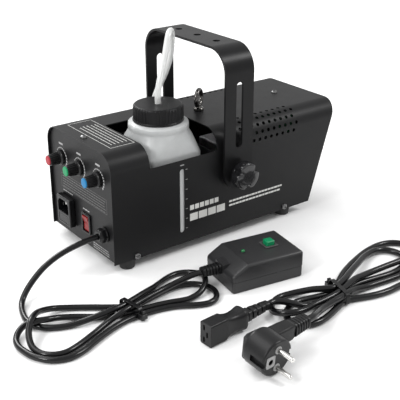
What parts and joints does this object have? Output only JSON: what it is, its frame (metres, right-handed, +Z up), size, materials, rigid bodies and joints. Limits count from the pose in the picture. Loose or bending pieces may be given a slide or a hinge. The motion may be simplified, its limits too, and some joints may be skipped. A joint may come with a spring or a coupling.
{
  "type": "fog machine",
  "caption": "Small black fog machine with a lift-out fluid tank, three lamp dimmers, a carrying bracket, a wired remote and a detachable mains lead.",
  "frame": {"origin": "on the floor under the middle of the machine and its remote together, measured without the cords", "axes": "+Z up, +X towards the fog outlet; the control panel faces -X and the tank bay is on the -Y side"},
  "size_m": [0.4887, 0.4315, 0.2433],
  "materials": {
    "black_coat": "matt fine-textured powder coat",
    "black_bracket": "satin powder coat",
    "zinc_steel": "zinc plate",
    "aluminium": "cast",
    "brass": "machined",
    "copper": "drawn pipe",
    "pin_nickel": "bright nickel plate",
    "foot_rubber": "matt",
    "tank_plastic": "translucent milky polyethylene",
    "cap_plastic": "satin",
    "seal_foam": "soft foam",
    "silicone": "milky silicone",
    "black_plastic": "satin moulded",
    "grey_plastic": "satin moulded",
    "white_plastic": "satin moulded",
    "lens_clear": "clear lens",
    "board_green": "solder mask",
    "core_steel": "varnished laminations",
    "switch_red": "translucent red",
    "button_green": "satin green",
    "lamp_green": "dark green lens",
    "cord_pvc": "semi-gloss PVC"
  },
  "bodies": {
    "case": {"base_tray": "black_coat", "hood_cover": "black_coat", "tank_well": "black_coat", "foot_rear_left": "foot_rubber", "foot_rear_right": "foot_rubber", "foot_front_left": "foot_rubber", "foot_front_right": "foot_rubber", "eyebolt": "zinc_steel", "eyebolt_nut": "zinc_steel", "pivot_washer_left": "foot_rubber", "pivot_washer_right": "foot_rubber", "pivot_nut_left": "zinc_steel", "pivot_nut_right": "zinc_steel", "feed_tube": "silicone", "heater_pipe": "copper", "pump_body": "brass", "pump_coil": "grey_plastic", "heater_block": "aluminium", "heater_bracket": "zinc_steel", "thermostat": "white_plastic", "heater_nozzle": "brass", "power_board": "board_green", "transformer": "core_steel", "lamp_board": "board_green", "lamp_lens_left": "lens_clear", "lamp_lens_middle": "lens_clear", "lamp_lens_right": "lens_clear", "dimmer_red": "zinc_steel", "dimmer_green": "zinc_steel", "dimmer_blue": "zinc_steel", "inlet_socket": "black_plastic", "switch_frame": "black_plastic", "cable_gland": "black_plastic", "remote_base": "black_plastic", "remote_cover": "black_plastic", "remote_lamp": "lamp_green", "remote_strain_relief": "cord_pvc", "remote_lead": "cord_pvc", "remote_hank": "cord_pvc", "remote_lead_end": "cord_pvc", "lead_connector": "cord_pvc", "lead_hank": "cord_pvc", "mains_lead_end": "cord_pvc", "plug_body": "cord_pvc", "plug_pin_upper": "pin_nickel", "plug_pin_lower": "pin_nickel"},
    "carry_bracket": {"bracket": "black_bracket"},
    "clamp_left": {"pivot_knob_left": "black_plastic"},
    "clamp_right": {"pivot_knob_right": "black_plastic"},
    "fluid_tank": {"tank": "tank_plastic", "suction_tube": "silicone"},
    "seal": {"cap_seal": "seal_foam"},
    "cap": {"tank_cap": "cap_plastic"},
    "plunger": {"pump_plunger": "zinc_steel"},
    "dial_red": {"knob_red": "black_plastic"},
    "dial_green": {"knob_green": "black_plastic"},
    "dial_blue": {"knob_blue": "black_plastic"},
    "fuse": {"fuse_drawer": "black_plastic"},
    "rocker": {"switch_rocker": "switch_red"},
    "push_button": {"remote_button": "button_green"}
  },
  "joints": [
    {"name": "bracket_tilt", "type": "hinge", "parent": "case", "child": "carry_bracket", "pos_m": [0.0085, 0.0473, 0.085], "axis": [0, 1, 0], "range_deg": [-2, 56]},
    {"name": "left_clamp_turn", "type": "hinge", "parent": "case", "child": "clamp_left", "pos_m": [0.0085, -0.0322, 0.085], "axis": [0, 1, 0], "range_deg": [-180, 180]},
    {"name": "right_clamp_turn", "type": "hinge", "parent": "case", "child": "clamp_right", "pos_m": [0.0085, 0.1268, 0.085], "axis": [0, 1, 0], "range_deg": [-180, 180]},
    {"name": "tank_lift", "type": "slide", "parent": "case", "child": "fluid_tank", "axis": [0, 0, 1], "range_m": [0, 0.12]},
    {"name": "cap_rise", "type": "slide", "parent": "fluid_tank", "child": "seal", "axis": [0, 0, 1], "range_m": [0, 0.006]},
    {"name": "cap_turn", "type": "hinge", "parent": "seal", "child": "cap", "pos_m": [-0.0644, 0.0223, 0.168], "axis": [0, 0, 1], "range_deg": [0, 540]},
    {"name": "plunger_stroke", "type": "slide", "parent": "case", "child": "plunger", "axis": [0, 1, 0], "range_m": [-0.002, 0.002], "stiffness_N_per_m": 1500},
    {"name": "red_dial", "type": "hinge", "parent": "case", "child": "dial_red", "pos_m": [-0.1528, 0.0903, 0.103], "axis": [1, 0, 0], "range_deg": [-150, 150]},
    {"name": "green_dial", "type": "hinge", "parent": "case", "child": "dial_green", "pos_m": [-0.1528, 0.0497, 0.103], "axis": [1, 0, 0], "range_deg": [-150, 150]},
    {"name": "blue_dial", "type": "hinge", "parent": "case", "child": "dial_blue", "pos_m": [-0.1528, 0.009, 0.103], "axis": [1, 0, 0], "range_deg": [-150, 150]},
    {"name": "fuse_drawer_pull", "type": "slide", "parent": "case", "child": "fuse", "axis": [-1, 0, 0], "range_m": [0, 0.014]},
    {"name": "power_rocker", "type": "hinge", "parent": "case", "child": "rocker", "pos_m": [-0.1495, 0.0395, 0.039], "axis": [0, 1, 0], "range_deg": [0, 18]},
    {"name": "button_press", "type": "slide", "parent": "case", "child": "push_button", "axis": [0, 0, -1], "range_m": [0, 0.0025], "stiffness_N_per_m": 400, "springref_m": -0.001}
  ],
  "couplings": [
    {"joint": "cap_turn", "follows": "cap_rise", "rad_per_m": 1570.7}
  ]
}
